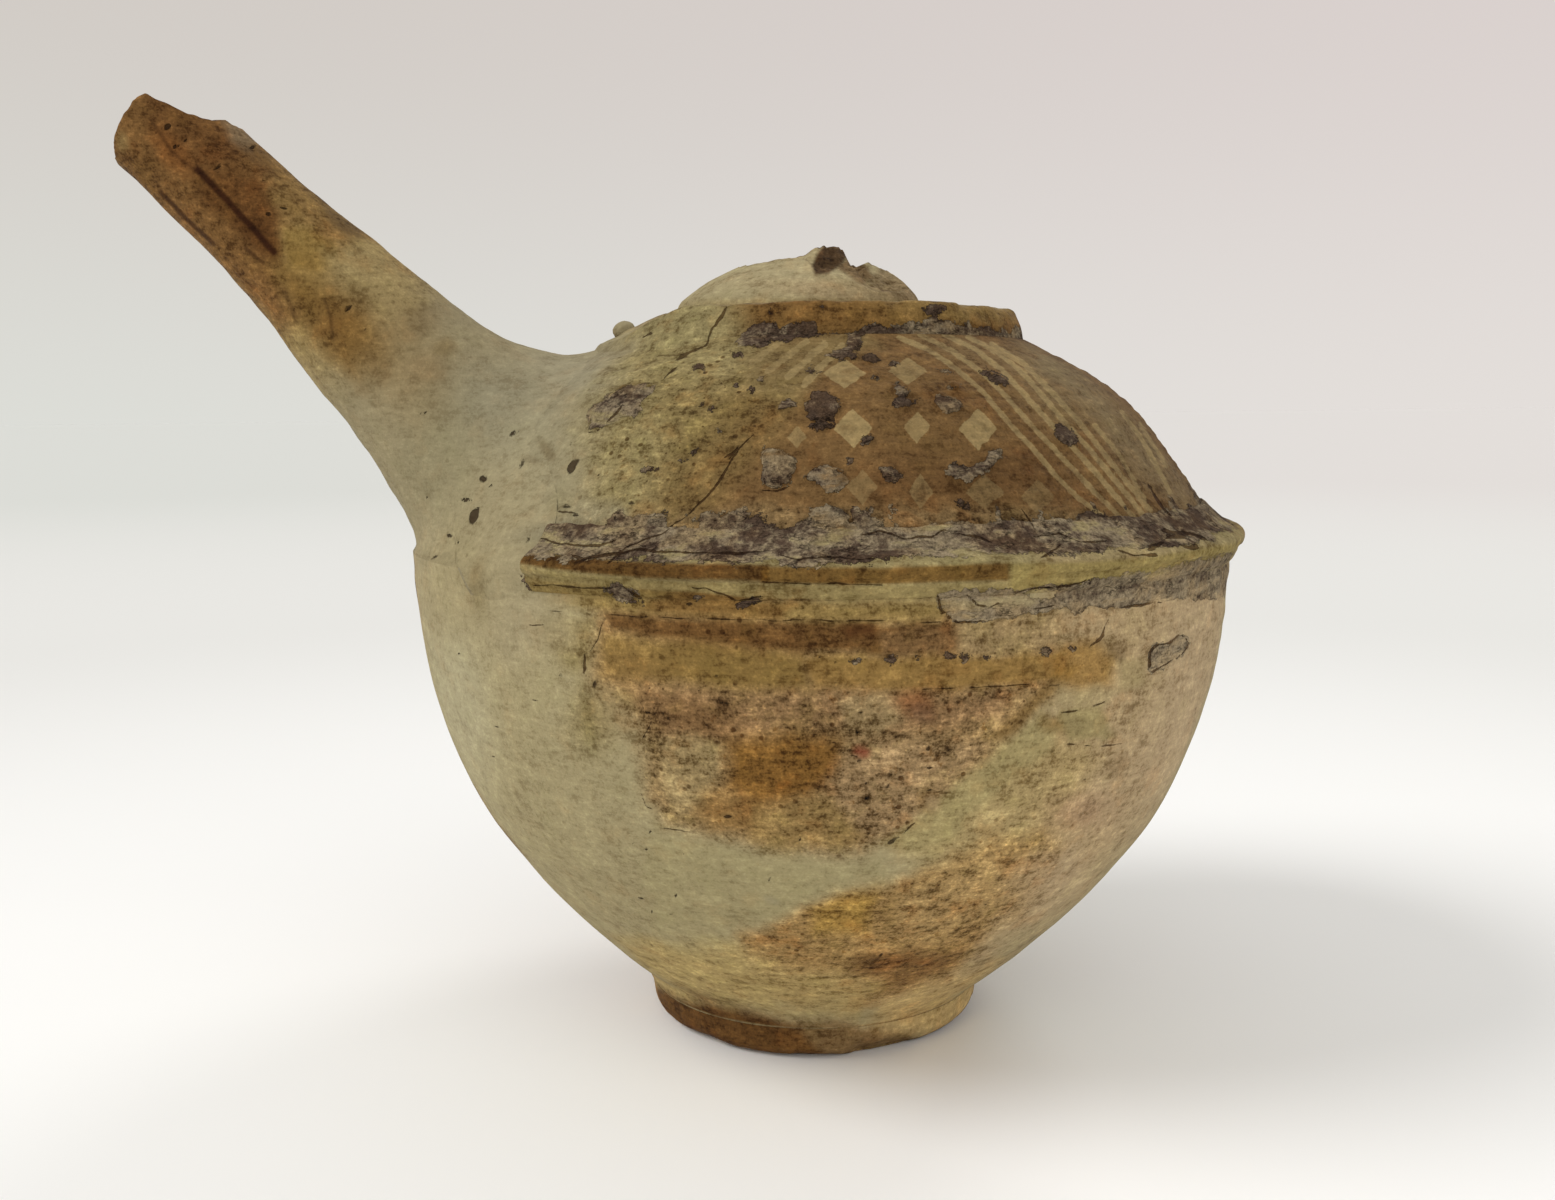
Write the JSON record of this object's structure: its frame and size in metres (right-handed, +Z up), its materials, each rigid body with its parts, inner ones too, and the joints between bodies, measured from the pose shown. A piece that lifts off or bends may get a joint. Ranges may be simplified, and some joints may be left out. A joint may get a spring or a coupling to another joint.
{
  "type": "spouted vase",
  "caption": "Fired clay jar with a round bowl on a low foot, a painted domed shoulder with a sharp flange, a broken-off neck and a long upturned pouring spout.",
  "frame": {"origin": "middle of the flat face of the foot that the vase stands on", "axes": "+Z up along the axis of the body, -X the way the spout points, +Y completes a right-handed frame"},
  "size_m": [0.2238, 0.175, 0.188],
  "materials": {
    "buff_clay": "unglazed, smoothed, matt, with brown and ochre stains",
    "painted_clay": "brown slip with reserved lozenges and stripes, matt",
    "crusted_clay": "grey mineral crust over buff clay, rough",
    "broken_clay": "buff outside, dark brown in the fracture, rough",
    "stained_clay": "buff clay with dark brown burnishing and streaks, satin"
  },
  "bodies": {
    "root": {"foot": "buff_clay", "lower_bowl": "buff_clay", "shoulder_dome": "painted_clay", "shoulder_flange": "crusted_clay", "neck_collar": "painted_clay", "neck_stump": "broken_clay", "spout_root": "buff_clay", "luting_fillet": "buff_clay", "spout_tube": "stained_clay", "root_pellet": "buff_clay"}
  },
  "joints": []
}
